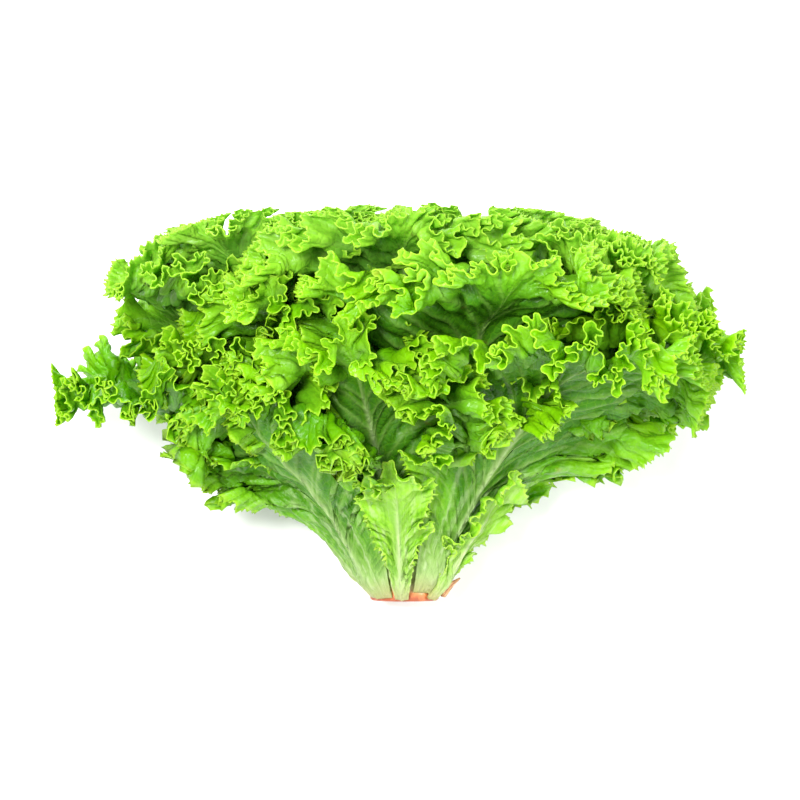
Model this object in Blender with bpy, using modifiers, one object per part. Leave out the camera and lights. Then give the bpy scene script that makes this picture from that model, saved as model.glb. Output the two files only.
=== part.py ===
"""Head of curly leaf lettuce, cut from its root and lying on its side.

The frame is in metres, +Z up from the surface that the head lies on. The head's axis runs from
the cut stump towards +Y and rises a little. An azimuth is measured round that axis: 0 faces
straight up, +90 degrees is +X, and 180 degrees is the side that lies on the surface.

Every leaf leaves the stump on a layer of its own. A layer is a share of the outermost leaves'
angle from the axis, so leaves of different layers never meet, whatever their azimuths.
"""

import math

import bpy
import numpy as np

# The head.
LEAF_COUNT = 38
DIVERGENCE = math.radians(-137.5)  # from one leaf to the next, round the stump
FIRST_AZIMUTH = math.radians(-45)
AXIS_RISE = math.radians(8)
OUTER_NAMES = 14  # how many of the leaves are called outer leaves
MIDDLE_NAMES = 13

# The stump: a turned dome with a cut face at its foot, on which the leaves stand.
STUMP_RADIUS = 0.0155
STUMP_LENGTH = 0.045
CUT_BEVEL = 0.0008
FIRST_LEAF_AT = math.radians(6)  # up the dome, from the cut face
LAST_LEAF_AT = math.radians(66)
SEAT_GAP = 0.0004  # between a leaf's foot and the stump

# How the outermost layer spreads. Angles are from the head's axis.
SPLAY_AT_STUMP = math.radians(42)
SPLAY_GAIN = math.radians(14)
SPLAY_GAIN_OVER = 0.110
LESS_UP = math.radians(7)  # the leaves that face up hang back under their own weight
CURL = math.radians(20)  # the outward curl of the leaf ends at the sides
CURL_UP = math.radians(18)  # more curl where the leaves face up
CURL_FROM = 0.090
CURL_OVER = 0.095

# How the surface under the head holds its lower leaves up. A rise is the sine of a slope.
FREE_RISE = 0.30  # leaves that rise faster than this don't feel the surface
LOWEST_FREE = -0.90  # how the lowest leaves would run down with nothing under them
LOWEST_AT_STUMP = -0.30  # how they do run down from the stump
LEVEL_FROM = 0.080
PRESS_BLEND = 0.12

# How the sides of the head hang back towards the stump. Lengths are out from the axis, along X.
SIDE_DROOP = 0.018  # at DROOP_FROM + DROOP_OVER
DROOP_FROM = 0.045
DROOP_OVER = 0.105

# A leaf.
OUTERMOST_LENGTH = 0.174
LONGEST_LENGTH = 0.180
HEART_LENGTH = 0.118
SHORTER_BELOW = 0.17  # the share by which the leaves under the head are shorter
SHORTER_LEAVES = {0: 0.73, 5: 0.80, 8: 0.80, 13: 0.84}  # the share of its length that such a leaf has
LEAF_HALF_ANGLE = math.radians(42)
WIDEST_HALF_ANGLE = math.radians(67)
FOOT_SHARE = 0.60  # the foot's share of the leaf's widest angle
TIP_SHARE = 0.52
TIP_ROUNDING = 0.16
RIB_THICKNESS = 0.0024
HEART_RIB_THICKNESS = 0.0008
SMALL_RIB_THICKNESS = 0.0012
BLADE_THICKNESS = 0.0007

# The small leaves at the foot of the head: layer, azimuth, length and half angle.
SMALL_LEAVES = (
    (1.050, math.radians(-4), 0.076, math.radians(17)),
    (1.035, math.radians(50), 0.070, math.radians(15)),
)

SMALL_LEAVES_AT = math.radians(3.6)

# The dry stub of a leaf that broke off.
STUB_AT = math.radians(3)
STUB_LAYER = 1.1
STUB_AZIMUTH = math.radians(86)
STUB_LENGTH = 0.011
STUB_HALF_ANGLE = math.radians(17)
STUB_THICKNESS = 0.0030

LEAF_COLUMNS = 8
LEAF_ROWS = 8
SMALL_COLUMNS = 4
SMALL_ROWS = 5
PATH_STEPS = 48

LEAF_GREEN = (0.20, 0.50, 0.03, 1)
YOUNG_GREEN = (0.38, 0.62, 0.10, 1)
STUMP_CREAM = (0.74, 0.70, 0.48, 1)
DRY_BROWN = (0.45, 0.25, 0.10, 1)

AXIS = np.array([0, math.cos(AXIS_RISE), math.sin(AXIS_RISE)])
UPWARD = np.array([0, -math.sin(AXIS_RISE), math.cos(AXIS_RISE)])
SIDEWAYS = np.array([1.0, 0, 0])


def ease(x):
    """0 up to x = 0, 1 from x = 1, and a smooth rise between."""
    x = np.clip(x, 0, 1)
    return x * x * (3 - 2 * x)


def material(name, colour, roughness):
    made = bpy.data.materials.new(name)
    made.use_nodes = True
    shader = made.node_tree.nodes["Principled BSDF"]
    shader.inputs["Base Color"].default_value = colour
    shader.inputs["Roughness"].default_value = roughness
    return made


def splay(reach, layer, azimuth):
    """A leaf's angle from the head's axis, at a distance along the leaf."""
    facing_up = np.clip(np.cos(azimuth), 0, 1)
    opening = SPLAY_AT_STUMP + SPLAY_GAIN * ease(reach / SPLAY_GAIN_OVER) - LESS_UP * facing_up
    curl = CURL + CURL_UP * facing_up
    return layer * opening + layer**2 * curl * ease((reach - CURL_FROM) / CURL_OVER)


def held_up(rise, reach):
    """A leaf's rise where the surface holds it up: the slower it rises, the more it is turned up."""
    lowest = LOWEST_AT_STUMP * (1 - ease(reach / LEVEL_FROM))
    below = np.maximum(FREE_RISE - rise, 0)
    rate = (FREE_RISE - PRESS_BLEND - lowest) / (FREE_RISE - PRESS_BLEND - LOWEST_FREE)
    pressed = FREE_RISE - rate * below - (1 - rate) * PRESS_BLEND * (1 - np.exp(-below / PRESS_BLEND))
    return np.where(rise < FREE_RISE, pressed, rise)


def on_layer(azimuth, layer, reach, height, lift):
    """Points at a distance along a layer's leaves: their directions are summed from the stump out.

    The sides of the head then droop towards the stump, by the square of how far out they are.
    height is the foot's place up the dome, as an angle, and lift its distance from the dome.
    """
    middles = (np.arange(PATH_STEPS) + 0.5) / PATH_STEPS
    along = reach[..., None] * middles
    angle = splay(along, layer, azimuth[..., None])
    outward = np.cos(azimuth)[..., None] * UPWARD + np.sin(azimuth)[..., None] * SIDEWAYS
    way = np.cos(angle)[..., None] * AXIS + np.sin(angle)[..., None] * outward[..., None, :]
    rise = held_up(way[..., 2], along)
    level = np.hypot(way[..., 0], way[..., 1])
    way[..., :2] *= (np.sqrt(1 - rise**2) / level)[..., None]
    way[..., 2] = rise
    foot = STUMP_LENGTH * math.sin(height) * AXIS
    foot = foot + (STUMP_RADIUS * math.cos(height) + lift) * outward
    places = foot + way.sum(axis=-2) * (reach / PATH_STEPS)[..., None]
    aside = np.clip((np.abs(places[..., 0]) - DROOP_FROM) / DROOP_OVER, 0, None)
    places[..., 1] -= SIDE_DROOP * aside**2
    return places


def leaf_angle(share):
    """The share of the widest half angle: a broad foot, the widest at two thirds, a round tip."""
    widening = FOOT_SHARE + (1 - FOOT_SHARE) * ease(share / 0.6)
    return widening - (1 - TIP_SHARE) * ease((share - 0.66) / 0.34)


def add_leaf(name, finish, azimuth, layer, length, half_angle, height, rib, size):
    """A leaf: a fan of faces on its layer, given its thickness by Solidify, thickest at its rib."""
    columns, rows = size
    across, along = np.meshgrid(np.linspace(-1, 1, columns + 1), np.linspace(0, 1, rows + 1))
    round_axis = azimuth + across * half_angle * leaf_angle(along)
    reach = length * along * (1 - TIP_ROUNDING * across**2 * along)
    places = on_layer(round_axis, layer, reach, height, SEAT_GAP + rib / 2).reshape(-1, 3)
    wide = columns + 1
    faces = [
        (row * wide + i, row * wide + i + 1, (row + 1) * wide + i + 1, (row + 1) * wide + i)
        for row in range(rows)
        for i in range(columns)
    ]
    mesh = bpy.data.meshes.new(name)
    mesh.from_pydata(places.tolist(), [], faces)
    mesh.materials.append(finish)
    mesh.shade_smooth()
    leaf = bpy.data.objects.new(name, mesh)
    HEAD.objects.link(leaf)
    group = leaf.vertex_groups.new(name="thickness")
    blade = min(BLADE_THICKNESS, rib)
    ribbed = (1 - ease(along * 1.4)) * (1 - 0.6 * np.abs(across))
    for index, share in enumerate((blade + (rib - blade) * ribbed).ravel() / rib):
        group.add([index], float(share), "REPLACE")
    shell = leaf.modifiers.new("Thickness", "SOLIDIFY")
    shell.thickness = rib
    shell.offset = 0
    shell.vertex_group = group.name


def add_stump(finish):
    """The cut stump: its dome's profile turned round the head's axis."""
    angles = np.linspace(0.06, math.pi / 2, 8)
    outline = [(STUMP_RADIUS * math.cos(a), STUMP_LENGTH * math.sin(a)) for a in angles[::-1]]
    outline[0] = (0, STUMP_LENGTH)
    outline += [(STUMP_RADIUS, CUT_BEVEL), (STUMP_RADIUS - CUT_BEVEL, 0), (0, 0)]
    mesh = bpy.data.meshes.new("stump")
    mesh.from_pydata(
        [(radius, 0, height) for radius, height in outline],
        [(i, i + 1) for i in range(len(outline) - 1)],
        [],
    )
    mesh.materials.append(finish)
    stump = bpy.data.objects.new("stump", mesh)
    HEAD.objects.link(stump)
    stump.rotation_euler.x = AXIS_RISE - math.pi / 2
    turned = stump.modifiers.new("Turned", "SCREW")
    turned.steps = turned.render_steps = 20
    turned.use_merge_vertices = True
    turned.merge_threshold = 0.0001


def leaf_name(order):
    if order < OUTER_NAMES:
        return f"outer_leaf_{order + 1:02d}"
    if order < OUTER_NAMES + MIDDLE_NAMES:
        return f"middle_leaf_{order - OUTER_NAMES + 1:02d}"
    return f"heart_leaf_{order - OUTER_NAMES - MIDDLE_NAMES + 1:02d}"


def leaf_length(layer, azimuth):
    """The longest leaves lie inside the outermost ones, and the heart leaves are the shortest."""
    length = HEART_LENGTH + (LONGEST_LENGTH - HEART_LENGTH) * ease((layer - 0.2) / 0.5)
    length -= (LONGEST_LENGTH - OUTERMOST_LENGTH) * ease((layer - 0.8) / 0.2)
    return length * (1 - SHORTER_BELOW * ease(-math.cos(azimuth)))


def add_stub(finish):
    """The dry stub: a short thick foot of a leaf on the outermost layer, broken off unevenly."""
    add_leaf(
        "leaf_stub",
        finish,
        azimuth=STUB_AZIMUTH,
        layer=STUB_LAYER,
        length=STUB_LENGTH,
        half_angle=STUB_HALF_ANGLE / FOOT_SHARE,
        height=STUB_AT,
        rib=STUB_THICKNESS,
        size=(SMALL_COLUMNS, SMALL_ROWS),
    )


def stand_on_ground(collection):
    """Moves the whole head so that the origin is under the middle of its box, on the surface."""
    bpy.context.view_layer.update()
    graph = bpy.context.evaluated_depsgraph_get()
    places = []
    for obj in collection.objects:
        shape = obj.evaluated_get(graph)
        places += [shape.matrix_world @ vertex.co for vertex in shape.data.vertices]
    places = np.array(places)
    low, high = places.min(axis=0), places.max(axis=0)
    for obj in collection.objects:
        obj.location.x -= (low[0] + high[0]) / 2
        obj.location.y -= (low[1] + high[1]) / 2
        obj.location.z -= low[2]


for old in list(bpy.data.objects):
    bpy.data.objects.remove(old)
HEAD = bpy.data.collections.new("lettuce_head")
bpy.context.scene.collection.children.link(HEAD)

add_stump(material("stump", STUMP_CREAM, 0.6))
green = material("leaf", LEAF_GREEN, 0.45)
for order in range(LEAF_COUNT):
    age = 1 - order / LEAF_COUNT  # 1 for the oldest leaf, outermost and lowest on the stump
    layer = math.sqrt(age)
    azimuth = FIRST_AZIMUTH + order * DIVERGENCE
    add_leaf(
        leaf_name(order),
        green,
        azimuth=azimuth,
        layer=layer,
        length=leaf_length(layer, azimuth) * SHORTER_LEAVES.get(order, 1),
        half_angle=min(LEAF_HALF_ANGLE / layer, WIDEST_HALF_ANGLE),
        height=FIRST_LEAF_AT + (LAST_LEAF_AT - FIRST_LEAF_AT) * (1 - age),
        rib=HEART_RIB_THICKNESS + (RIB_THICKNESS - HEART_RIB_THICKNESS) * layer**2,
        size=(LEAF_COLUMNS, LEAF_ROWS),
    )

young = material("young_leaf", YOUNG_GREEN, 0.45)
for number, (layer, azimuth, length, half_angle) in enumerate(SMALL_LEAVES, 1):
    add_leaf(
        f"small_leaf_{number}",
        young,
        azimuth,
        layer,
        length,
        half_angle,
        height=SMALL_LEAVES_AT,
        rib=SMALL_RIB_THICKNESS,
        size=(SMALL_COLUMNS, SMALL_ROWS),
    )
add_stub(material("dry_stub", DRY_BROWN, 0.8))
stand_on_ground(HEAD)
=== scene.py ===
"""The looks of a head of curly leaf lettuce that lies on its side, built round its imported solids.

Every leaf is one closed sheet, worked out on a grid of two parameters. The first runs along the
leaf's margin, from the foot to the tip, and the second along the veins, from the left margin over
the midrib to the right margin. The sheet first lies on the leaf's own layer of the head, and is
then curled and ruffled towards its margin. Lengths are in metres and angles in radians.
"""

import math

import bpy
import numpy as np
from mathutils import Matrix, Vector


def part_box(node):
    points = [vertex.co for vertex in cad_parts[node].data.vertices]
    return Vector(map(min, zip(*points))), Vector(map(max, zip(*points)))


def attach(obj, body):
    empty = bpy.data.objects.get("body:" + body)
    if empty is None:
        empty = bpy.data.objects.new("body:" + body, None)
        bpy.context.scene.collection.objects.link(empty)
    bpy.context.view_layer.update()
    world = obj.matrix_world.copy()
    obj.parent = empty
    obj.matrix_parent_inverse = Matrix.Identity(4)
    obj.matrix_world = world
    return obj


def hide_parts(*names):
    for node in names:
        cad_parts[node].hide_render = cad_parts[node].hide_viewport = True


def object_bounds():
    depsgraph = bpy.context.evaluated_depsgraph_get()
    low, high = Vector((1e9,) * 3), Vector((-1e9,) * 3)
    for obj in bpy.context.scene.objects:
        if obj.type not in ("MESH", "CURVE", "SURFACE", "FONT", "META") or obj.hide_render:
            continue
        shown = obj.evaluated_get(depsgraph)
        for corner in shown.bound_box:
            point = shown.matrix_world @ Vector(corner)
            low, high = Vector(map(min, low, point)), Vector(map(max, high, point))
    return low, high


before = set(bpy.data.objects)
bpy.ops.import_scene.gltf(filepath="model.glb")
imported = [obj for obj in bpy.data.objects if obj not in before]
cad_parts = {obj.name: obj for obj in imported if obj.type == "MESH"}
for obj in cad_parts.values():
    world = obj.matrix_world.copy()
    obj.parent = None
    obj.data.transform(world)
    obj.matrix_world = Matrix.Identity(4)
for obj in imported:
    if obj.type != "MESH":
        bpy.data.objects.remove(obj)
solid_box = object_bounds()

# The head, as the solids have it.
LEAF_COUNT = 38
DIVERGENCE = math.radians(-137.5)  # from one leaf to the next, round the stump
FIRST_AZIMUTH = math.radians(-45)
AXIS_RISE = math.radians(8)
OUTER_NAMES = 14  # how many leaves are named outer and middle; the rest are the heart's
MIDDLE_NAMES = 13
STUMP_RADIUS = 0.0155
STUMP_LENGTH = 0.045
CUT_BEVEL = 0.0008  # round the rim of the cut face
FIRST_LEAF_AT = math.radians(6)  # up the dome of the stump, from the cut face
LAST_LEAF_AT = math.radians(66)
SPLAY_AT_STUMP = math.radians(42)  # the outermost leaves' angle from the axis, and what it gains
SPLAY_GAIN = math.radians(14)
SPLAY_GAIN_OVER = 0.110
LESS_UP = math.radians(7)  # how much less the leaves on top of the head open
CURL = math.radians(20)  # how much further their tips turn outward, and on top of the head
CURL_UP = math.radians(18)
CURL_FROM = 0.090
CURL_OVER = 0.095
FREE_RISE = 0.30  # the rise, as a sine, below which the surface turns a leaf up
LOWEST_FREE = -0.90
LOWEST_AT_STUMP = -0.30  # the lowest rise at the stump; from LEVEL_FROM on, none is below 0
LEVEL_FROM = 0.080
PRESS_BLEND = 0.12
SIDE_DROOP = 0.018  # how far the sides hang back towards the stump, where they are furthest out
DROOP_FROM = 0.045
DROOP_OVER = 0.105
OUTERMOST_LENGTH = 0.174
LONGEST_LENGTH = 0.180
HEART_LENGTH = 0.118
SHORTER_BELOW = 0.17  # how much shorter the leaves under the head are, as a share
SHORTER_LEAVES = {0: 0.73, 5: 0.80, 8: 0.80, 13: 0.84}  # the share of its length that each one has
LEAF_HALF_ANGLE = math.radians(42)
WIDEST_HALF_ANGLE = math.radians(67)
FOOT_SHARE = 0.60  # how wide a leaf's foot is, as a share of its widest
# The small leaves at the foot of the head: layer, azimuth, length and half angle.
SMALL_LEAVES = (
    (1.050, math.radians(-4), 0.076, math.radians(17)),
    (1.035, math.radians(50), 0.070, math.radians(15)),
)
SMALL_LEAVES_AT = math.radians(3.6)

AXIS = np.array([0, math.cos(AXIS_RISE), math.sin(AXIS_RISE)])
UPWARD = np.array([0, -math.sin(AXIS_RISE), math.cos(AXIS_RISE)])
SIDEWAYS = np.array([1.0, 0, 0])

# A leaf's sheet.
SEAT = 0.0016  # from the stump to the middle of a leaf's foot
BLADE = 0.00045
RIB_THICKNESS = 0.0030
MARGIN_ZONE = 0.04  # from the margin to where a blade has its deepest green
FOOT_ZONE = 0.010  # how far up from its end a leaf's foot may be smudged
FOOT_SINK = 0.0018  # how far a leaf's foot runs into the stump
FOOT_REACH_DOWN = 0.0036  # and how far down towards the cut, at most
ROWS = 21  # from the midrib to each margin
FINE_ROWS = 9  # the rows next to the margin, at full count; the next ones have half
HALF_ROWS = 6
MARGIN_SAMPLES = 3000
LEAN = 0.6  # how far a fold's crests bulge along the margin, times its height squared over its wave
MOST_LEAN = 0.11  # the most that they bulge, and the tallest a fold is, as shares of its own wave
TALLEST = 0.48
ROW_CROWDING = 1.75  # how much closer the rows are near the margin
LAST_VEIN = 0.93  # where on the midrib the last vein starts, as a share of the leaf
VEIN_CROWDING = 1.6
VEIN_BEND = 0.86  # below 1, the veins first run along the midrib
ROW_BEND = 1.12
FRILL_GROWS = 0.25  # the share of the margin over which the frill grows, past its bare part
FOLD_DRIFT = 1.8  # how uneven the folds are, in radians of their turn
LEAST_CURL = math.radians(5)
MOST_CURL = math.radians(130)
CURL_WANDER = math.radians(20)
SIDE_VEINS = np.concatenate([[0.03, 0.07, 0.11, 0.16, 0.21], np.arange(0.27, 0.98, 0.062)])

# Which of a leaf's random seeds each of its irregularities takes; its folds take the first ones.
LOBES, SLOW, AIM, PUCKER, TEETH, DEPTH, BENT = 8, 10, 11, 12, 13, 14, 15
SEED_COUNT = 18

# The crown's outline: how high its furthest part is, and how far it falls back up and down from
# there, and to the sides.
CROWN_MIDDLE = 0.080
CROWN_ROUND_UP = 0.042
CROWN_ROUND_ASIDE = 0.006


def stump_foot():
    """The middle of the cut face, worked out from the stump's box: its rim leans back by the rise."""
    low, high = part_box("stump")
    rim = STUMP_RADIUS - CUT_BEVEL
    return np.array([
        (low.x + high.x) / 2,
        low.y + rim * math.sin(AXIS_RISE),
        low.z + STUMP_RADIUS * math.cos(AXIS_RISE) - CUT_BEVEL * math.sin(AXIS_RISE),
    ])


HEAD_FOOT = stump_foot()
HEAD_MIDDLE = HEAD_FOOT + 0.080 * AXIS + 0.030 * UPWARD  # the frills face away from it
LOWEST_FACING = -0.05  # the steepest that a frill faces down, as a sine
ROOM = np.array(solid_box[1]) + np.array([0.0092, -0.0115, 0.0060])  # the furthest that frills reach


def ease(x):
    """0 up to x = 0, 1 from x = 1, and a smooth rise between."""
    x = np.clip(x, 0, 1)
    return x * x * (3 - 2 * x)


def unit(vectors):
    """The vectors at length 1."""
    return vectors / np.maximum(np.linalg.norm(vectors, axis=-1, keepdims=True), 1e-12)


def dot(first, second):
    """The dot product of each pair of vectors."""
    return (first * second).sum(-1, keepdims=True)


def length_along(places):
    """The length of a line of places, from its start to each of them."""
    steps = np.linalg.norm(np.diff(places, axis=0), axis=-1)
    return np.concatenate([np.zeros((1, *steps.shape[1:])), np.cumsum(steps, axis=0)])


def smoothed(rows, reach):
    """The running mean of rows, over as many rows as reach to each side; the ends are repeated."""
    padded = np.concatenate([np.repeat(rows[:1], reach + 1, 0), rows, np.repeat(rows[-1:], reach, 0)])
    total = np.cumsum(padded, axis=0)
    return (total[2 * reach + 1:] - total[:-2 * reach - 1]) / (2 * reach + 1)


def wander(rng, *scaled, octaves=3):
    """Smooth noise of about -1 to 1: a sum of sine waves whose directions and phases are random."""
    total = np.zeros(np.broadcast(*scaled).shape)
    weight = 0.0
    for octave in range(octaves):
        for _ in range(3):
            turn = rng.uniform(0, 2 * np.pi)
            ways = (np.cos(turn), np.sin(turn)) if len(scaled) > 1 else (1.0,)
            phase = rng.uniform(0, 2 * np.pi)
            stretch = rng.uniform(0.75, 1.3) * 2**octave
            wave = sum(way * part for way, part in zip(ways, scaled))
            total += np.sin(2 * np.pi * stretch * wave + phase) / 2**octave
        weight += 3 / 2**octave
    return total * 1.7 / weight


# ---------------------------------------------------------------- the layers of the head


def splay(reach, layer, azimuth):
    """A leaf's angle from the head's axis, at a distance along the leaf, as the solids have it."""
    facing_up = np.clip(np.cos(azimuth), 0, 1)
    opening = SPLAY_AT_STUMP + SPLAY_GAIN * ease(reach / SPLAY_GAIN_OVER) - LESS_UP * facing_up
    curl = CURL + CURL_UP * facing_up
    return layer * opening + layer**2 * curl * ease((reach - CURL_FROM) / CURL_OVER)


def held_up(rise, reach):
    """A leaf's rise where the surface holds it up: the slower it rises, the more it is turned up."""
    lowest = LOWEST_AT_STUMP * (1 - ease(reach / LEVEL_FROM))
    below = np.maximum(FREE_RISE - rise, 0)
    rate = (FREE_RISE - PRESS_BLEND - lowest) / (FREE_RISE - PRESS_BLEND - LOWEST_FREE)
    pressed = FREE_RISE - rate * below - (1 - rate) * PRESS_BLEND * (1 - np.exp(-below / PRESS_BLEND))
    return np.where(rise < FREE_RISE, pressed, rise)


class Layer:
    """One layer of the head: its points and outward normals, tabled by azimuth and by reach.

    A layer's line at an azimuth starts on the stump and follows the splay, one step at a time. The
    sides of the head then droop towards the stump, by the square of how far out they are.
    """

    STEP = 0.0015
    TURNS = 91

    def __init__(self, azimuth, half_angle, layer, length, height):
        self.low, self.wide = azimuth - half_angle * 1.25, half_angle * 2.5
        turns = self.low + self.wide * np.linspace(0, 1, self.TURNS)[:, None]
        reach = self.STEP * (np.arange(int(length * 1.25 / self.STEP)) + 0.5)[None, :]
        angle = splay(reach, layer, turns)[..., None]
        outward = np.cos(turns)[..., None] * UPWARD + np.sin(turns)[..., None] * SIDEWAYS
        way = np.cos(angle) * AXIS + np.sin(angle) * outward
        rise = held_up(way[..., 2], reach)
        level = np.hypot(way[..., 0], way[..., 1])
        way[..., :2] *= (np.sqrt(1 - rise**2) / level)[..., None]
        way[..., 2] = rise
        self.foot_height = STUMP_LENGTH * math.sin(height)
        foot = HEAD_FOOT + self.foot_height * AXIS
        foot = foot + (STUMP_RADIUS * math.cos(height) + SEAT) * outward
        self.places = np.concatenate([foot, foot + np.cumsum(way * self.STEP, axis=1)], axis=1)
        aside = np.clip((np.abs(self.places[..., 0] - HEAD_FOOT[0]) - DROOP_FROM) / DROOP_OVER, 0, None)
        self.places[..., 1] -= SIDE_DROOP * aside**2
        across = np.gradient(self.places, axis=0)
        along = np.gradient(self.places, axis=1)
        self.normals = unit(np.cross(across, along))
        middle = self.TURNS // 2
        if (self.normals[middle, 5] * outward[middle, 0]).sum() < 0:
            self.normals *= -1

    def read(self, table, azimuth, reach):
        """The table's value at each azimuth and reach, mixed from its four nearest entries."""
        rows, columns = table.shape[:2]
        x = np.clip((azimuth - self.low) / self.wide, 0, 1) * (rows - 1)
        y = np.clip(reach / self.STEP, 0, columns - 1.001)
        i = np.minimum(x.astype(int), rows - 2)
        j = y.astype(int)
        fx, fy = (x - i)[..., None], (y - j)[..., None]
        near = table[i, j] * (1 - fx) + table[i + 1, j] * fx
        far = table[i, j + 1] * (1 - fx) + table[i + 1, j + 1] * fx
        return near * (1 - fy) + far * fy


# ---------------------------------------------------------------- a leaf's sheet


class Sheet:
    """What the two halves of one leaf share: its layer, its size, its style and its random seeds."""

    def __init__(self, rng, layer, azimuth, half_angle, length, style):
        self.layer, self.azimuth, self.half_angle, self.length = layer, azimuth, half_angle, length
        self.style = style
        self.seeds = rng.integers(1 << 30, size=SEED_COUNT)

    def again(self, which):
        """The random numbers of one kind, which are the same for both halves."""
        return np.random.default_rng(self.seeds[which])


def leaf_width(share):
    """Half the leaf's width as a share: a broad foot, the widest at 0.6, and a round tip."""
    widening = FOOT_SHARE + (1 - FOOT_SHARE) * ease(share / 0.6)
    closing = np.clip((share - 0.58) / 0.42, 0, 1)
    return widening * np.sqrt(np.maximum(1 - closing**2.3, 0))


def margin_line(sheet, side):
    """One margin of a leaf, from the foot to the tip, at many even steps.

    It holds the margin's width share, reach share, length from the foot and length to the tip, and
    for each size of fold its turn and its height. A fold's turn follows the length that the larger
    folds have given the margin, so small folds ride on the walls of large ones.
    """
    run = np.linspace(0, 1, MARGIN_SAMPLES)
    reach = 1 - (1 - run) ** 2
    lobes = wander(sheet.again(LOBES + side), reach * 2.8, octaves=2)
    width = leaf_width(reach) * (1 + sheet.style["lobes"] * lobes * ease(reach / 0.5))
    turns = sheet.azimuth + side * sheet.half_angle * width
    from_foot = length_along(sheet.layer.read(sheet.layer.places, turns, sheet.length * reach))
    to_tip = from_foot[-1] - from_foot
    alive = ease((from_foot / from_foot[-1] - sheet.style["bare"]) / FRILL_GROWS)
    line = {
        "run": run, "width": width, "reach": reach,
        "from_foot": from_foot, "to_tip": to_tip, "alive": alive,
    }
    flat = np.stack([to_tip, 0 * to_tip], axis=1)
    length = to_tip
    for number, (wave, height, _) in enumerate(sheet.style["folds"]):
        uneven = wander(sheet.again(3 * number), side * length / (wave * 4), octaves=1)
        size = 0.85 + 0.45 * wander(sheet.again(3 * number + 1), side * length / (wave * 3))
        turn = 2 * np.pi * length * side / wave + FOLD_DRIFT * uneven
        here = 2 * np.pi / np.maximum(np.abs(np.gradient(turn, length - 1e-9 * run)), 1)
        tall = np.minimum(height * np.clip(size, 0.35, 1.4), TALLEST * here) * alive
        lean = np.minimum(LEAN * tall**2 / here, MOST_LEAN * here)
        way = unit(np.gradient(flat, axis=0))
        square = np.stack([-way[:, 1], way[:, 0]], axis=1)
        flat = flat - square * (tall * np.cos(turn))[:, None]
        flat = flat - way * (side * lean * np.sin(2 * turn))[:, None]
        length = length_along(flat[::-1])[::-1]
        line.update({f"turn_{number}": turn, f"tall_{number}": tall, f"lean_{number}": lean})
    line["ruffled"] = length
    return line


def column_line(line, count):
    """A margin at the columns of the grid, which keep about the same ruffled length apart."""
    ruffled, from_foot = line["ruffled"], line["from_foot"]
    measure = 0.85 * (1 - ruffled / ruffled[0]) + 0.15 * from_foot / from_foot[-1]
    columns = np.interp(np.linspace(0, 1, count + 1), measure, line["run"])
    return {key: np.interp(columns, line["run"], values) for key, values in line.items()}


def teeth(rng, count):
    """The teeth of a margin: points three or four columns apart, each rising steeply to one column."""
    heights = np.zeros(count + 1)
    place = 2
    while place < count - 1:
        tall = rng.uniform(0.45, 1.0) ** 1.2
        heights[place] = tall
        heights[place + 1] = tall * rng.uniform(0.1, 0.45)
        place += int(rng.integers(3, 5))
    return heights


def leaf_halves(sheet):
    """The two halves of a leaf, each a grid from the midrib to the margin.

    A vein leaves the midrib and meets the margin further up, and the grid's rows cross the veins.
    A place is the layer's place, moved out of the layer by slow waves of the whole blade, and then
    by the curl, the folds, the pucker and the teeth. The columns are a multiple of four.
    """
    style = sheet.style
    lines = [margin_line(sheet, side) for side in (-1, 1)]
    ruffled = (lines[0]["ruffled"][0] + lines[1]["ruffled"][0]) / 2
    count = 4 * round(ruffled / style["spacing"] / 4)
    vein = (1 - (1 - np.arange(ROWS + 1) / ROWS) ** ROW_CROWDING)[None, :]
    halves = []
    for side, line in zip((-1, 1), lines):
        line = column_line(line, count)
        run = line["from_foot"] / line["from_foot"][-1]
        root = LAST_VEIN * run[:, None] ** VEIN_CROWDING
        far = root + (line["reach"][:, None] - root) * vein**VEIN_BEND
        turns = sheet.azimuth + side * sheet.half_angle * line["width"][:, None] * vein**ROW_BEND
        smooth = sheet.layer.read(sheet.layer.places, turns, sheet.length * far)
        normal = sheet.layer.read(sheet.layer.normals, turns, sheet.length * far)
        slow = wander(sheet.again(SLOW), turns * 1.1, far * 1.6)
        base = smooth + normal * (style["slow"] * slow * ease(far / 0.7))[..., None]
        half = dict(line, smooth=smooth, base=base, normal=normal, far=far, side=side, run=run)
        half["signed"] = side * half["to_tip"]
        halves.append(half)
        find_ways(half)
        curl_margin(half, sheet)
        fold_margin(half, sheet)
        finish_margin(half, sheet)
    return halves


def find_ways(half):
    """Finds the ways at each point of a half, and the distance from it to the margin.

    Outward leads along the sheet, square to the margin, and is smoothed along the margin. Square
    leads out of the sheet. The distance is the sum of the grid's steps, as far as they lead outward.
    """
    base, normal = half["base"], half["normal"]
    vein_way = unit(np.gradient(base, axis=1))
    margin_way = unit(np.gradient(base, axis=0))
    outward = vein_way - margin_way * dot(vein_way, margin_way)
    steepness = np.linalg.norm(outward, axis=-1)
    outward = unit(smoothed(unit(outward), len(base) // 9))
    steps = np.linalg.norm(np.diff(base, axis=1), axis=2) * (steepness[:, 1:] + steepness[:, :-1]) / 2
    last = np.zeros((len(steps), 1))
    half["outward"] = outward
    half["square"] = unit(normal - outward * dot(normal, outward))
    half["handed"] = np.sign((np.cross(margin_way, outward) * normal).sum(-1).mean())
    half["steps"] = steps
    half["to_margin"] = np.concatenate([np.cumsum(steps[:, ::-1], axis=1)[:, ::-1], last], axis=1)


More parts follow.
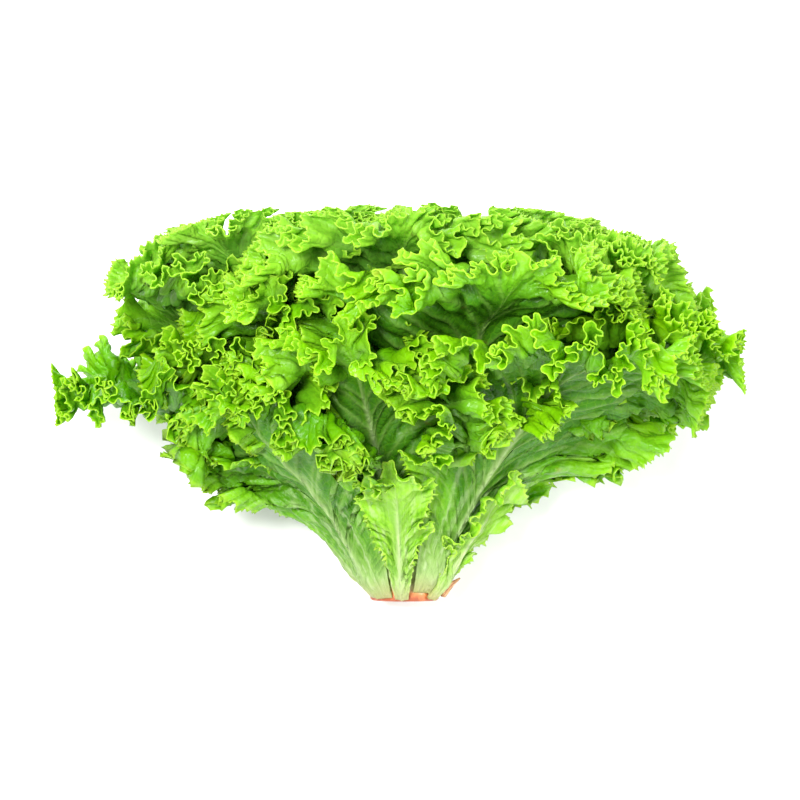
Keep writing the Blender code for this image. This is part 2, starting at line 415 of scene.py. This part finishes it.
def curl_margin(half, sheet):
    """Curls a half out of its layer, so that its margin faces away from the middle of the head.

    Within a set distance of the margin the sheet bends by a power of the nearness to the margin.
    A place is the sum of the grid's steps, each turned by the bend there.
    """
    style, base, steps = sheet.style, half["base"], half["steps"]
    outward, square, to_margin = half["outward"], half["square"], half["to_margin"]
    facing = unit(base[:, -1] - HEAD_MIDDLE)
    facing[:, 2] = np.maximum(facing[:, 2], LOWEST_FACING)
    aim = np.arctan2(dot(facing, square[:, -1]), dot(facing, outward[:, -1]))
    aim = smoothed(np.clip(aim + style["curl"], LEAST_CURL, MOST_CURL), len(base) // 12)[:, 0]
    curl = (aim + CURL_WANDER * wander(sheet.again(AIM), half["signed"] / 0.07, octaves=1)) * half["alive"]
    depth = np.minimum(style["curl_depth"], 0.75 * to_margin[:, :1])
    bend = curl[:, None] * np.clip(1 - to_margin / depth, 0, 1) ** 1.2
    middle = (bend[:, 1:] + bend[:, :-1]) / 2
    back = np.zeros_like(bend)
    back[:, 1:] = np.cumsum(steps * (1 - np.cos(middle)), axis=1)
    over = np.zeros_like(bend)
    over[:, 1:] = np.cumsum(steps * np.sin(middle), axis=1)
    half["place"] = base - outward * back[..., None] + square * over[..., None]
    half["forward"] = outward * np.cos(bend)[..., None] + square * np.sin(bend)[..., None]


def sheet_ways(half):
    """The ways along the margin and out of the sheet, at the places that the sheet has so far."""
    way = unit(np.gradient(half["place"], axis=0))
    return way, unit(np.cross(way, half["forward"])) * half["handed"]


def fold_margin(half, sheet):
    """Folds a half, with each size of fold in turn, from the widest.

    A fold moves a place out of the sheet by minus the cosine of its turn, and along the margin by
    the sine of twice the turn. Both fade with the distance from the margin.
    """
    to_margin, signed = half["to_margin"], half["signed"][:, None]
    for number, (_, _, depth) in enumerate(sheet.style["folds"]):
        uneven = wander(sheet.again(DEPTH), signed / (depth * 0.7) + 0 * to_margin, octaves=2)
        reach = np.minimum(depth * (1 + 0.35 * uneven), 0.85 * to_margin[:, :1])
        fade = np.clip(1 - to_margin / reach, 0, 1) ** 1.15
        bent = wander(sheet.again(BENT), signed / 0.040, to_margin / 0.022, octaves=1)
        turn = half[f"turn_{number}"][:, None] + FOLD_DRIFT * bent * ease((to_margin - 0.002) / 0.012)
        tall = half[f"tall_{number}"][:, None] * fade
        lean = half[f"lean_{number}"][:, None] * fade**2
        way, across = sheet_ways(half)
        half["place"] = half["place"] - across * (tall * np.cos(turn))[..., None]
        half["place"] = half["place"] - way * (half["side"] * lean * np.sin(2 * turn))[..., None]


def finish_margin(half, sheet):
    """Puckers a half between its midrib and its margin, and gives its outermost row its teeth."""
    style, to_margin, signed = sheet.style, half["to_margin"], half["signed"][:, None]
    _, across = sheet_ways(half)
    pucker = wander(sheet.again(PUCKER), signed / 0.014, to_margin / 0.012, octaves=2)
    puckered = ease(to_margin / 0.012) * ease((0.085 - to_margin) / 0.05) * half["alive"][:, None]
    puckered = puckered * ease((to_margin[:, :1] - to_margin) / 0.012)
    place = half["place"] + across * (style["pucker"] * pucker * puckered)[..., None]
    rng = np.random.default_rng(int(sheet.seeds[TEETH]) + half["side"])
    points = teeth(rng, len(place) - 1) * style["tooth"] * ease((half["run"] - 0.05) / 0.2)
    place[:, -1] += half["forward"][:, -1] * points[:, None]
    place[:, -2] += half["forward"][:, -2] * (points * 0.25)[:, None]
    half.update(place=place, across=across)


def vein_relief(half, rng):
    """How raised and how pale each point is: near the midrib, and near each of the side veins.

    A rib's profile is a bell of the distance from its middle. Side veins are columns of the grid.
    """
    far, run = half["far"], half["run"]
    down = length_along(half["smooth"])
    from_rib = length_along(half["smooth"].swapaxes(0, 1)).T
    taper = np.clip(1 - far, 0, 1)
    rib = np.exp(-((from_rib / (0.0009 + 0.0088 * taper**1.3)) ** 2))
    raised = (0.0003 + RIB_THICKNESS * taper**1.5) * rib
    pale = rib * (0.45 + 0.55 * ease(taper * 1.6))
    share = np.arange(ROWS + 1)[None, :] / ROWS
    for start in SIDE_VEINS:
        column = int(np.argmin(np.abs(run - start - rng.uniform(-0.02, 0.02))))
        apart = np.abs(down - down[column])
        half_width = 0.0005 + 0.0022 * np.clip(1 - share, 0, 1) ** 1.3 * (1 - 0.5 * run[:, None])
        vein = np.exp(-((apart / half_width) ** 2)) * np.clip(1.15 - share, 0, 1) ** 0.7
        raised = raised + 0.0012 * vein * (1 - 0.6 * run[:, None])
        pale = np.maximum(pale, 0.52 * vein * (1 - 0.35 * run[:, None]))
    foot = ease(1 - far / 0.34)
    pale = np.maximum(pale, foot * (0.66 + 0.34 * ease(1 - far / 0.20)))
    return raised, np.clip(pale, 0, 1)


def pressed_in(values, limit, soft):
    """Values that near a limit from below slow down, and never pass it: an exponential approach."""
    start = limit - soft
    return np.where(values > start, limit - soft * np.exp((start - values) / soft), values)


def kept_in(places):
    """Keeps every point above the surface and in the head's room, whose crown is rounded."""
    places[..., 2] = -pressed_in(-places[..., 2], 0.0, 0.004)
    places[..., 2] = pressed_in(places[..., 2], ROOM[2], 0.010)
    high = (places[..., 2] - CROWN_MIDDLE) / ROOM[2]
    aside = places[..., 0] / ROOM[0]
    crown = ROOM[1] - CROWN_ROUND_UP * high**2 - CROWN_ROUND_ASIDE * aside**2
    places[..., 1] = pressed_in(places[..., 1], crown, 0.014)
    places[..., 0] = pressed_in(places[..., 0], ROOM[0], 0.008)
    places[..., 0] = -pressed_in(-places[..., 0], ROOM[0], 0.008)
    return places


def leaf_sheet(name, rng, sheet, tone):
    """One leaf as a closed shell, blade and ribs thick: its halves are joined at the midrib.

    The foot runs down and into the stump, and the margins meet at the tip.
    """
    halves = leaf_halves(sheet)
    reliefs = [vein_relief(half, rng) for half in halves]

    def joined(left, right):
        return np.concatenate([left[:, ::-1], right[:, 1:]], axis=1)

    def both(key):
        return joined(halves[0][key], halves[1][key])

    raised, pale = (joined(left, right) for left, right in zip(*reliefs))
    middle, reach = both("place"), both("far") * sheet.length
    middle[:, ROWS] = (halves[0]["place"][:, 0] + halves[1]["place"][:, 0]) / 2
    raised = raised * (0.35 + 0.65 * ease(reach / 0.012))
    square = np.cross(np.gradient(middle, axis=0), np.gradient(middle, axis=1))
    flip = np.sign((square * both("across")).sum(-1)[10:-10, 4:-4].mean())
    square = unit(square * flip)
    square[-1] = unit(square[-1] + square[-1, ::-1])
    middle -= square * (FOOT_SINK * (1 - ease(reach / 0.009)))[..., None]
    lowered = min(FOOT_REACH_DOWN, 0.78 * sheet.layer.foot_height)
    middle -= AXIS * (lowered * (1 - ease(reach / 0.014)))[..., None]
    middle[-1] = (middle[-1] + middle[-1, ::-1]) / 2
    outer = kept_in(middle + square * (BLADE / 2 + raised)[..., None])
    inner = kept_in(middle - square * (BLADE / 2 + 0.15 * raised)[..., None])
    looks = np.stack([
        np.clip(both("to_margin") / MARGIN_ZONE, 0, 1), pale, np.ones_like(pale), np.full_like(pale, tone)
    ], axis=-1).reshape(-1, 4)
    inner_looks = looks * np.array([1, 1, 0, 1])
    near_foot = np.clip(1 - reach / FOOT_ZONE, 0, 1).ravel()
    return make_piece(
        name,
        np.concatenate([outer.reshape(-1, 3), inner.reshape(-1, 3)]),
        shell_faces(len(middle) - 1, flip > 0),
        np.concatenate([looks, inner_looks]),
        np.tile(near_foot, 2),
    )


def shell_faces(count, outward):
    """The faces of a leaf's shell: its two sides, its margins, and its foot.

    The rows near the margins take every column, the next ones every other, and the rest every
    fourth. The last column's halves are one, which closes the tip.
    """
    rows = 2 * ROWS + 1
    distance = np.abs(np.arange(rows) - ROWS)
    half_count = distance > ROWS - FINE_ROWS - HALF_ROWS
    stride = np.where(distance > ROWS - FINE_ROWS, 1, np.where(half_count, 2, 4))
    index = np.arange((count + 1) * rows).reshape(count + 1, rows)
    index[-1, ROWS + 1:] = index[-1, :ROWS][::-1]
    shell = index.size
    faces = []
    for row in range(rows - 1):
        wide = strip(index, row, stride[row], stride[row + 1], count)
        wide = wide if outward else wide[:, ::-1]
        faces += [wide, wide[:, ::-1] + shell]
    last = rows - 1
    i = np.arange(count)
    j = np.arange(rows - 1)
    rims = [
        np.stack([index[i, last], index[i + 1, last], index[i + 1, last] + shell, index[i, last] + shell], 1),
        np.stack([index[i + 1, 0], index[i, 0], index[i, 0] + shell, index[i + 1, 0] + shell], 1),
        np.stack([index[0, j], index[0, j + 1], index[0, j + 1] + shell, index[0, j] + shell], 1),
    ]
    return faces + [rim if outward else rim[:, ::-1] for rim in rims]


def strip(index, row, here, there, count):
    """The faces between two rows of the grid, whose columns may be twice as close on one side."""
    wide, close = max(here, there), min(here, there)
    i = np.arange(0, count, wide)
    corners = [index[i, row], index[i + wide, row], index[i + wide, row + 1], index[i, row + 1]]
    if here > there:
        corners.insert(3, index[i + close, row + 1])
    if here < there:
        corners.insert(1, index[i + close, row])
    return np.stack(corners, 1)


def make_piece(name, places, faces, looks, near_foot):
    """A mesh object from arrays of places and of faces, without the points that no face uses."""
    corners = np.concatenate([group.ravel() for group in faces])
    used, corners = np.unique(corners, return_inverse=True)
    sizes = np.concatenate([np.full(len(group), group.shape[1]) for group in faces])
    mesh = bpy.data.meshes.new(name)
    mesh.vertices.add(len(used))
    mesh.vertices.foreach_set("co", places[used].astype(np.float32).ravel())
    mesh.loops.add(len(corners))
    mesh.loops.foreach_set("vertex_index", corners.astype(np.int32).ravel())
    mesh.polygons.add(len(sizes))
    mesh.polygons.foreach_set("loop_start", np.concatenate([[0], np.cumsum(sizes)[:-1]]).astype(np.int32))
    mesh.update(calc_edges=True)
    mesh.shade_smooth()
    attribute = mesh.attributes.new("leaf_map", "FLOAT_COLOR", "POINT")
    attribute.data.foreach_set("color", looks[used].astype(np.float32).ravel())
    attribute = mesh.attributes.new("near_foot", "FLOAT", "POINT")
    attribute.data.foreach_set("value", near_foot[used].astype(np.float32))
    piece = bpy.data.objects.new(name, mesh)
    bpy.context.scene.collection.objects.link(piece)
    return piece


# ---------------------------------------------------------------- materials

BRUISE = (0.62, 0.26, 0.07)
CREAM = (0.62, 0.68, 0.38)
DRY_CREAM = (0.76, 0.66, 0.38)
RUST = (0.66, 0.22, 0.06)
DARK_RUST = (0.34, 0.07, 0.02)
DARK_FIBRE = (0.16, 0.05, 0.015)
BROWN_FIBRE = (0.46, 0.20, 0.06)
STRAW_FIBRE = (0.72, 0.48, 0.22)
STREAKS_FROM = HEAD_FOOT - 0.02 * AXIS  # behind the cut, so that the streaks are almost parallel
PAINTED_SHEEN_STARTS = 0.025  # where the painted sheen towards the head's far end, at the top of the view, starts, and how fast it comes in
PAINTED_SHEEN_GAIN = 20.0
THROUGH = 0.38  # the share of its light that a leaf lets through


def put(tree, socket, value):
    """Links a socket to another one, or sets it to a number, a colour or a vector."""
    if isinstance(value, (int, float)):
        socket.default_value = value
    elif isinstance(value, tuple):
        socket.default_value = (*value, 1)[:len(socket.default_value)]
    else:
        tree.links.new(value, socket)


def add_node(tree, kind, inputs, **settings):
    """A new shader node with these settings and inputs."""
    node = tree.nodes.new(f"ShaderNode{kind}")
    for name, value in settings.items():
        setattr(node, name, value)
    for key, value in inputs.items():
        put(tree, node.inputs[key], value)
    return node


def nodes_of(name):
    """A new material, its tree, its shader and its output."""
    made = bpy.data.materials.new(name)
    made.use_nodes = True
    tree = made.node_tree
    return made, tree, tree.nodes["Principled BSDF"], tree.nodes["Material Output"]


def here(tree):
    """The place of a point on the head."""
    return add_node(tree, "TexCoord", {}).outputs["Object"]


def attribute(tree, name):
    """The node that reads an attribute of the mesh."""
    return add_node(tree, "Attribute", {}, attribute_name=name)


def ramp(tree, value, stops):
    """A colour that runs evenly from stop to stop, by the value."""
    node = add_node(tree, "ValToRGB", {"Fac": value})
    ends = node.color_ramp.elements
    while len(ends) < len(stops):
        ends.new(0.5)
    for end, (position, colour) in zip(ends, stops):
        end.position = position
        end.color = (*colour, 1)
    return node.outputs["Color"]


def mixed(tree, share, first, second):
    """The first colour, and a share of the second over it."""
    node = add_node(tree, "Mix", {}, data_type="RGBA")
    for name, value in (("Factor", share), ("A", first), ("B", second)):
        put(tree, node.inputs[name], value)
    return node.outputs["Result"]


def calculated(tree, operation, first, second, clamp=False):
    """A sum, difference, product, power or minimum of two values, which may be held in 0 to 1."""
    node = add_node(tree, "Math", {0: first, 1: second}, operation=operation, use_clamp=clamp)
    return node.outputs["Value"]


def added(tree, first, second, clamp=False):
    """The sum of two values."""
    return calculated(tree, "ADD", first, second, clamp)


def less(tree, first, second, clamp=False):
    """The first value less the second."""
    return calculated(tree, "SUBTRACT", first, second, clamp)


def times(tree, first, second, clamp=False):
    """The product of two values."""
    return calculated(tree, "MULTIPLY", first, second, clamp)


def beyond(tree, first, second, gain):
    """How far the first value is over the second, times a gain, held in 0 to 1."""
    return times(tree, less(tree, first, second), gain, True)


def noise(tree, scale, detail=4.0, roughness=0.55):
    """Even noise of the place."""
    inputs = {"Vector": here(tree), "Scale": scale, "Detail": detail, "Roughness": roughness}
    return add_node(tree, "TexNoise", inputs).outputs["Fac"]


def stretched(tree, place):
    """Coarse noise of a place that has been scaled already."""
    return add_node(tree, "TexNoise", {"Vector": place, "Scale": 1.0, "Detail": 3}).outputs["Fac"]


def cells(tree, scale):
    """The distance from the edges of irregular cells, as the finest veins of a leaf divide it."""
    waves = add_node(tree, "TexNoise", {"Vector": here(tree), "Scale": scale * 0.6})
    bends = {0: waves.outputs["Color"], 1: (0.6 / scale,) * 3, 2: here(tree)}
    bent = add_node(tree, "VectorMath", bends, operation="MULTIPLY_ADD").outputs["Vector"]
    inputs = {"Vector": bent, "Scale": scale}
    return add_node(tree, "TexVoronoi", inputs, feature="DISTANCE_TO_EDGE").outputs["Distance"]


def streaks(tree, scale, drift):
    """Noise of the direction from the stump, and its fading: its streaks run out along the leaves."""
    from_stump = {0: here(tree), 1: tuple(STREAKS_FROM)}
    way = add_node(tree, "VectorMath", from_stump, operation="SUBTRACT").outputs["Vector"]
    reach = add_node(tree, "VectorMath", {0: way}, operation="LENGTH").outputs["Value"]
    straight = add_node(tree, "VectorMath", {0: way}, operation="NORMALIZE").outputs["Vector"]
    drifts = {0: straight, 1: (scale,) * 3, 2: times(tree, reach, drift)}
    moved = add_node(tree, "VectorMath", drifts, operation="MULTIPLY_ADD").outputs["Vector"]
    fade = less(tree, 1.45, times(tree, reach, 10.5), True)
    return stretched(tree, moved), fade


def bumpy(tree, shader, relief, strength, distance):
    """Gives a shader a fine relief."""
    bump = add_node(tree, "Bump", {"Height": relief, "Strength": strength, "Distance": distance})
    tree.links.new(bump.outputs["Normal"], shader.inputs["Normal"])


def blade_colour(tree, parts, tone, cloudy, fine, net, deep, mid, light, edge, rib, pith):
    """The blade's colour: deeper green away from its margin, with a pale edge and fine veins.

    The outer side, which is a leaf's underside, is a little paler. Towards the head's far end, at the top of
    the view, the blade is painted lighter and whiter: a painted sheen.
    """
    to_margin, outer = parts[0], parts[2]
    ways = add_node(tree, "SeparateXYZ", {"Vector": here(tree)})
    # crown: the painted sheen mask, growing towards the head's far end at the top of the view
    crown = beyond(tree, ways.outputs["Y"], PAINTED_SHEEN_STARTS, PAINTED_SHEEN_GAIN)
    drift = times(tree, less(tree, cloudy, 0.5), 0.9)
    drift = less(tree, drift, times(tree, crown, 0.45))
    spread = added(tree, added(tree, to_margin, drift), tone, True)
    blade = ramp(tree, spread, [(0.0, light), (0.30, mid), (0.85, deep)])
    blade = mixed(tree, times(tree, fine, 0.35), blade, deep)
    blade = mixed(tree, less(tree, 0.16, times(tree, net, 1.6), True), blade, light)
    margin = less(tree, 1.0, times(tree, to_margin, 48.0), True)
    edging = times(tree, margin, times(tree, noise(tree, 120, 3), 1.15), True)
    blade = mixed(tree, edging, blade, edge)
    underside = mixed(tree, 0.10, blade, rib)
    blade = mixed(tree, outer, blade, underside)
    # the painted sheen whitens the blade towards the top of the view
    return mixed(tree, times(tree, crown, 0.14), blade, pith)


def bruised(tree, colour, cloudy):
    """A colour with brown smudges at the leaf's foot, and brown flecks here and there."""
    near_foot = attribute(tree, "near_foot").outputs["Fac"]
    colour = mixed(tree, times(tree, near_foot, times(tree, cloudy, 0.7), True), colour, BRUISE)
    fleck = beyond(tree, noise(tree, 70, 2), 0.70, 6.0)
    return mixed(tree, times(tree, fleck, 0.6), colour, BRUISE)


def leaf_material(name, deep, mid, light, edge, rib, pith):
    """Leaf tissue: deep green between the veins, lighter to the margin, pale at the ribs and foot.

    The mesh's leaf map holds how far the margin is, how pale a rib or the foot makes the leaf,
    whether it is the outer side, and the leaf's own tone. Light and dark streaks run out from the
    stump, and wrinkle the leaf too. The dark streaks lie in the wrinkles' furrows: a deeper green
    there, partly painted shade.
    """
    made, tree, shader, output = nodes_of(name)
    looks = attribute(tree, "leaf_map")
    parts = add_node(tree, "SeparateColor", {"Color": looks.outputs["Color"]}).outputs
    pale = parts[1]
    cloudy = noise(tree, 45, 3)
    fine = noise(tree, 260, 4)
    net = cells(tree, 290)
    colours = deep, mid, light, edge, rib, pith
    blade = blade_colour(tree, parts, looks.outputs["Alpha"], cloudy, fine, net, *colours)
    colour = mixed(tree, pale, blade, rib)
    colour = mixed(tree, times(tree, calculated(tree, "POWER", pale, 3.0), 0.70), colour, pith)
    streak, fade = streaks(tree, 30, 12)
    # dark streaks lie in the furrows, where the relief is low: deeper green, partly painted shade
    furrow_green_and_shade = times(tree, beyond(tree, 0.47, streak, 7.0), fade)
    bright = times(tree, beyond(tree, streak, 0.52, 7.0), fade)
    groove = less(tree, 0.80, times(tree, pale, 0.65))
    colour = mixed(tree, times(tree, furrow_green_and_shade, groove), colour, deep)
    colour = mixed(tree, times(tree, bright, 0.70), colour, pith)
    colour = bruised(tree, colour, cloudy)
    rough = ramp(tree, fine, [(0.3, (0.24, 0.24, 0.24)), (0.7, (0.42, 0.42, 0.42))])
    tree.links.new(colour, shader.inputs["Base Color"])
    tree.links.new(rough, shader.inputs["Roughness"])
    shader.inputs["Specular IOR Level"].default_value = 0.30
    shader.inputs["Coat Weight"].default_value = 0.08
    shader.inputs["Coat Roughness"].default_value = 0.18

    quilt = calculated(tree, "MINIMUM", net, 0.22)
    relief = added(tree, times(tree, quilt, 3.0), fine)
    relief = added(tree, relief, times(tree, times(tree, streak, fade), 11.0))
    bumpy(tree, shader, relief, 0.45, 0.0007)
    through = add_node(tree, "BsdfTranslucent", {"Color": colour})
    both = {"Fac": THROUGH, 1: shader.outputs["BSDF"], 2: through.outputs["BSDF"]}
    blend = add_node(tree, "MixShader", both)
    tree.links.new(blend.outputs["Shader"], output.inputs["Surface"])
    return made


def stump_material():
    """Cream flesh that has turned orange-red at the cut, and brown in spots."""
    made, tree, shader, _ = nodes_of("cut stump")
    ways = {0: here(tree), 1: tuple(AXIS)}
    along = add_node(tree, "VectorMath", ways, operation="DOT_PRODUCT").outputs["Value"]
    above_cut = less(tree, along, float(HEAD_FOOT @ AXIS))
    patchy = noise(tree, 130, 5, 0.65)
    rust = times(tree, less(tree, 1.60, times(tree, above_cut, 150.0)), patchy)
    colour = ramp(tree, rust, [(0.0, CREAM), (0.30, DRY_CREAM), (0.52, RUST), (0.78, DARK_RUST)])
    rough = ramp(tree, patchy, [(0.3, (0.35, 0.35, 0.35)), (0.7, (0.6, 0.6, 0.6))])
    tree.links.new(colour, shader.inputs["Base Color"])
    tree.links.new(rough, shader.inputs["Roughness"])
    bumpy(tree, shader, noise(tree, 420, 4), 0.6, 0.0008)
    return made


def stub_material():
    """Dry brown tissue with fine fibres."""
    made, tree, shader, _ = nodes_of("dry leaf stub")
    thin = {"Vector": here(tree), "Scale": (520, 90, 420)}
    stretch = add_node(tree, "Mapping", thin).outputs["Vector"]
    fibre = add_node(tree, "TexNoise", {"Vector": stretch, "Scale": 1.0, "Detail": 4}).outputs["Fac"]
    colour = ramp(tree, fibre, [(0.3, DARK_FIBRE), (0.5, BROWN_FIBRE), (0.7, STRAW_FIBRE)])
    rough = ramp(tree, fibre, [(0.3, (0.9, 0.9, 0.9)), (0.7, (0.6, 0.6, 0.6))])
    tree.links.new(colour, shader.inputs["Base Color"])
    tree.links.new(rough, shader.inputs["Roughness"])
    bumpy(tree, shader, fibre, 0.8, 0.0008)
    return made


def floor_material(colour, roughness):
    """A plain pale surface with a slight unevenness."""
    made, tree, shader, _ = nodes_of("pale floor")
    darker = tuple(0.94 * part for part in colour)
    tree.links.new(ramp(tree, noise(tree, 60), [(0.3, darker), (0.7, colour)]), shader.inputs["Base Color"])
    shader.inputs["Roughness"].default_value = roughness
    return made


# ---------------------------------------------------------------- the leaves

# How a leaf is ruffled:
# spacing     between the grid's columns, along the ruffled margin
# curl        added to the angle at which the frill faces away from the middle of the head
# curl_depth  from the margin to where the curl starts
# folds       each size of fold: its wave along the margin, its height, and its depth from the margin
# slow        the height of the whole blade's slow waves
# bare        the share of the margin, from the foot, that has no frill
# pucker      the height of the blade's puckers
# tooth       the length of the margin's teeth
# lobes       how uneven the blade's width is
UPPER = {
    "spacing": 0.00107, "curl": 0.0, "curl_depth": 0.040,
    "folds": ((0.030, 0.0115, 0.044), (0.0110, 0.0048, 0.018), (0.0060, 0.0016, 0.008)),
    "slow": 0.004, "bare": 0.22, "pucker": 0.0019, "tooth": 0.0023, "lobes": 0.10,
}
UNDER = dict(UPPER, spacing=0.0023)
SMALL = dict(
    UPPER, curl=math.radians(-40), curl_depth=0.016, slow=0.002, pucker=0.0004, bare=0.10,
    folds=((0.024, 0.0035, 0.025), (0.011, 0.0030, 0.014), (0.006, 0.0009, 0.008)),
)
# Leaves that differ from the others, by their order on the stump.
SPECIAL = {
    0: {"curl": math.radians(42)},
    2: {"curl": math.radians(20)},
    3: {"curl": math.radians(25)},
    4: {"bare": 0.12, "tooth": 0.0036, "lobes": 0.20},
    5: {"curl": math.radians(22)},
    7: {"tooth": 0.0030, "curl": math.radians(15)},
    8: {"curl": math.radians(30)},
    13: {"curl": math.radians(25)},
}
UNDER_FROM = -0.2  # the cosine of the azimuth at which the leaves under the head start
PRESSED_FLATTER = 0.45  # how much flatter the ruffles are, right under the head
HEART_SHARE = 0.6  # the layers within it are the heart, whose columns are wider apart
HEART_SPACING = 0.0015
LEAF_SEED = 1000
SMALL_LEAF_SEED = 2000
SMALL_LEAF_TONE = -0.2

LEAF = leaf_material(
    "leaf tissue", deep=(0.045, 0.24, 0.001), mid=(0.16, 0.50, 0.002), light=(0.32, 0.72, 0.004),
    edge=(0.50, 0.78, 0.03), rib=(0.30, 0.52, 0.09), pith=(0.58, 0.74, 0.36),
)
YOUNG_LEAF = leaf_material(
    "young leaf tissue", deep=(0.08, 0.34, 0.003), mid=(0.20, 0.54, 0.006), light=(0.36, 0.74, 0.02),
    edge=(0.60, 0.84, 0.08), rib=(0.44, 0.66, 0.18), pith=(0.66, 0.78, 0.40),
)


def leaf_name(order):
    """The node of a leaf, by its order on the stump."""
    if order < OUTER_NAMES:
        return f"outer_leaf_{order + 1:02d}"
    if order < OUTER_NAMES + MIDDLE_NAMES:
        return f"middle_leaf_{order - OUTER_NAMES + 1:02d}"
    return f"heart_leaf_{order - OUTER_NAMES - MIDDLE_NAMES + 1:02d}"


def leaf_length(share, azimuth):
    """A leaf's length: longest just within the outermost layer, and shorter under the head."""
    length = HEART_LENGTH + (LONGEST_LENGTH - HEART_LENGTH) * ease((share - 0.2) / 0.5)
    length -= (LONGEST_LENGTH - OUTERMOST_LENGTH) * ease((share - 0.8) / 0.2)
    return length * (1 - SHORTER_BELOW * ease(-math.cos(azimuth)))


def leaf_style(order, share, facing_up):
    """How a leaf is ruffled, by its order, its layer and the cosine of its azimuth."""
    style = dict(UPPER if facing_up > UNDER_FROM else UNDER)
    if share < HEART_SHARE:
        style["spacing"] = max(style["spacing"], HEART_SPACING)
    style.update(SPECIAL.get(order, {}))
    flatter = 1 - PRESSED_FLATTER * float(ease(-facing_up * 1.3))
    style["folds"] = [(wave, height * flatter, depth) for wave, height, depth in style["folds"]]
    style["slow"] *= flatter
    return style


def add_leaf(order):
    """Adds a leaf: each next one is turned by the divergence, stands higher and lies further in."""
    age = 1 - order / LEAF_COUNT
    share = math.sqrt(age)
    azimuth = FIRST_AZIMUTH + order * DIVERGENCE
    half_angle = min(LEAF_HALF_ANGLE / share, WIDEST_HALF_ANGLE)
    height = FIRST_LEAF_AT + (LAST_LEAF_AT - FIRST_LEAF_AT) * (1 - age)
    length = leaf_length(share, azimuth) * SHORTER_LEAVES.get(order, 1)
    length *= 0.95 + 0.09 * float(ease((share - 0.55) / 0.4))
    style = leaf_style(order, share, math.cos(azimuth))
    rng = np.random.default_rng(LEAF_SEED + order)
    layer = Layer(azimuth, half_angle, share, length, height)
    sheet = Sheet(rng, layer, azimuth, half_angle, length, style)
    tone = rng.uniform(-0.15, 0.25) - 0.25 * (1 - share)
    name = leaf_name(order)
    finish(leaf_sheet(f"{name}_sheet", rng, sheet, tone), LEAF, name)


def add_small_leaf(number, share, azimuth, length, half_angle):
    """Adds one of the small leaves at the foot of the head."""
    rng = np.random.default_rng(SMALL_LEAF_SEED + number)
    layer = Layer(azimuth, half_angle, share, length, SMALL_LEAVES_AT)
    sheet = Sheet(rng, layer, azimuth, half_angle, length, SMALL)
    piece = leaf_sheet(f"small_leaf_{number}_sheet", rng, sheet, SMALL_LEAF_TONE)
    finish(piece, YOUNG_LEAF, f"small_leaf_{number}")


def finish(piece, material, node):
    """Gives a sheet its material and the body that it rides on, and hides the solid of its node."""
    piece.data.materials.append(material)
    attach(piece, "root")
    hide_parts(node)


for order in range(LEAF_COUNT):
    add_leaf(order)
for number, small in enumerate(SMALL_LEAVES, 1):
    add_small_leaf(number, *small)
for name, material in (("stump", stump_material()), ("leaf_stub", stub_material())):
    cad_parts[name].data.materials.clear()
    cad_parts[name].data.materials.append(material)


# ---------------------------------------------------------------- floor, lights and camera

FLOOR_SIDE = 6.0  # from the middle of the floor to its edges
# The lamps: place from the head's middle and above the floor, power in watts, and size.
LAMPS = {
    "key": ((-0.35, 0.05, 1.40), 25, 0.35),
    "fill": ((0.95, -0.15, 0.9), 12, 0.7),
    "front": ((-0.5, -1.1, 0.8), 12, 0.7),
    "back": ((-0.3, 1.1, 0.55), 17, 0.5),
}
SKY_STRENGTH = 0.45
CAMERA_RISE = math.radians(81)
CAMERA_AWAY = 1.455
AIM_ASIDE = 0.0015  # from the middle of the head to where the camera looks
AIM_BACK = 0.0065


def add_floor():
    """A wide pale floor under the head."""
    mesh = bpy.data.meshes.new("floor")
    side = FLOOR_SIDE
    corners = [(-side, -side, 0), (side, -side, 0), (side, side, 0), (-side, side, 0)]
    mesh.from_pydata(corners, [], [(0, 1, 2, 3)])
    mesh.materials.append(floor_material((0.93, 0.93, 0.93), 0.7))
    floor = bpy.data.objects.new("floor", mesh)
    bpy.context.scene.collection.objects.link(floor)


def add_lights(middle):
    """Four soft area lights, aimed at the middle of the head, and an even pale sky."""
    for name, (place, power, size) in LAMPS.items():
        lamp = bpy.data.lights.new(name, "AREA")
        lamp.energy = power
        lamp.size = size
        light = bpy.data.objects.new(name, lamp)
        light.location = (middle.x + place[0], middle.y + place[1], place[2])
        bpy.context.scene.collection.objects.link(light)
        way = middle - light.location
        light.rotation_euler = way.to_track_quat("-Z", "Y").to_euler()
    sky = bpy.data.worlds.new("pale sky")
    sky.use_nodes = True
    sky.node_tree.nodes["Background"].inputs["Color"].default_value = (1, 1, 1, 1)
    sky.node_tree.nodes["Background"].inputs["Strength"].default_value = SKY_STRENGTH
    bpy.context.scene.world = sky
    bpy.context.scene.view_settings.view_transform = "Standard"


def add_camera():
    """A long lens that looks down on the head from the side of its stump."""
    low, high = solid_box
    middle = (low + high) / 2
    middle.x += AIM_ASIDE
    middle.y -= AIM_BACK
    back, up = CAMERA_AWAY * math.cos(CAMERA_RISE), CAMERA_AWAY * math.sin(CAMERA_RISE)
    camera = bpy.data.objects.new("camera", bpy.data.cameras.new("camera"))
    camera.data.lens = 150
    camera.data.sensor_width = 36
    bpy.context.scene.collection.objects.link(camera)
    camera.location = (middle.x, middle.y - back, middle.z + up)
    way = middle - camera.location
    camera.rotation_euler = way.to_track_quat("-Z", "Y").to_euler()
    bpy.context.scene.camera = camera


look_low, look_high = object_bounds()
add_floor()
add_lights((look_low + look_high) / 2)
add_camera()
